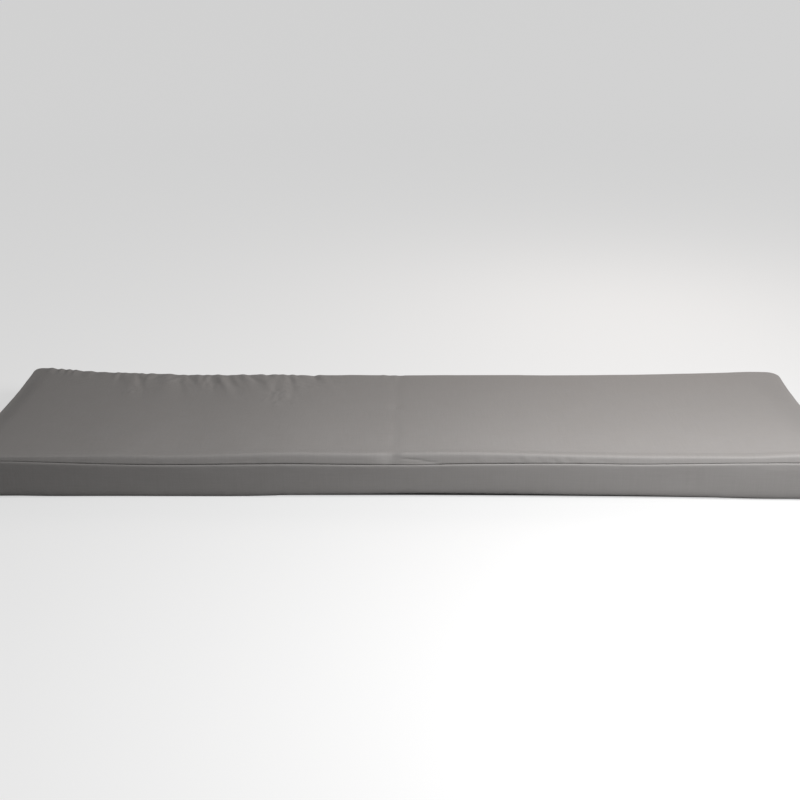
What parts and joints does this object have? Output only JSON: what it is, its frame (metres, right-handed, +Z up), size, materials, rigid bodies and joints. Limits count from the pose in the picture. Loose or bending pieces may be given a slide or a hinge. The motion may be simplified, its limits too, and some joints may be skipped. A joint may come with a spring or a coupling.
{
  "type": "bench cushion",
  "caption": "Long grey box cushion for a garden bench: soft filled pad with an upright sewn border, rolled top edge, drawn-in sides and a few gathers at the back.",
  "frame": {"origin": "on the surface that the cushion lies on, under the middle of its footprint", "axes": "+X along the cushion's length, +Y towards its back edge, +Z up through its thickness"},
  "size_m": [1.5, 0.4386, 0.0814],
  "materials": {
    "panel_cloth": "matt woven polyester, mid grey",
    "border_cloth": "matt woven polyester, mid grey",
    "sewing_thread": "grey polyester sewing thread"
  },
  "bodies": {
    "root": {"filled_cushion": "panel_cloth", "border_front": "border_cloth", "border_back": "border_cloth", "border_left": "border_cloth", "border_right": "border_cloth"}
  },
  "joints": []
}
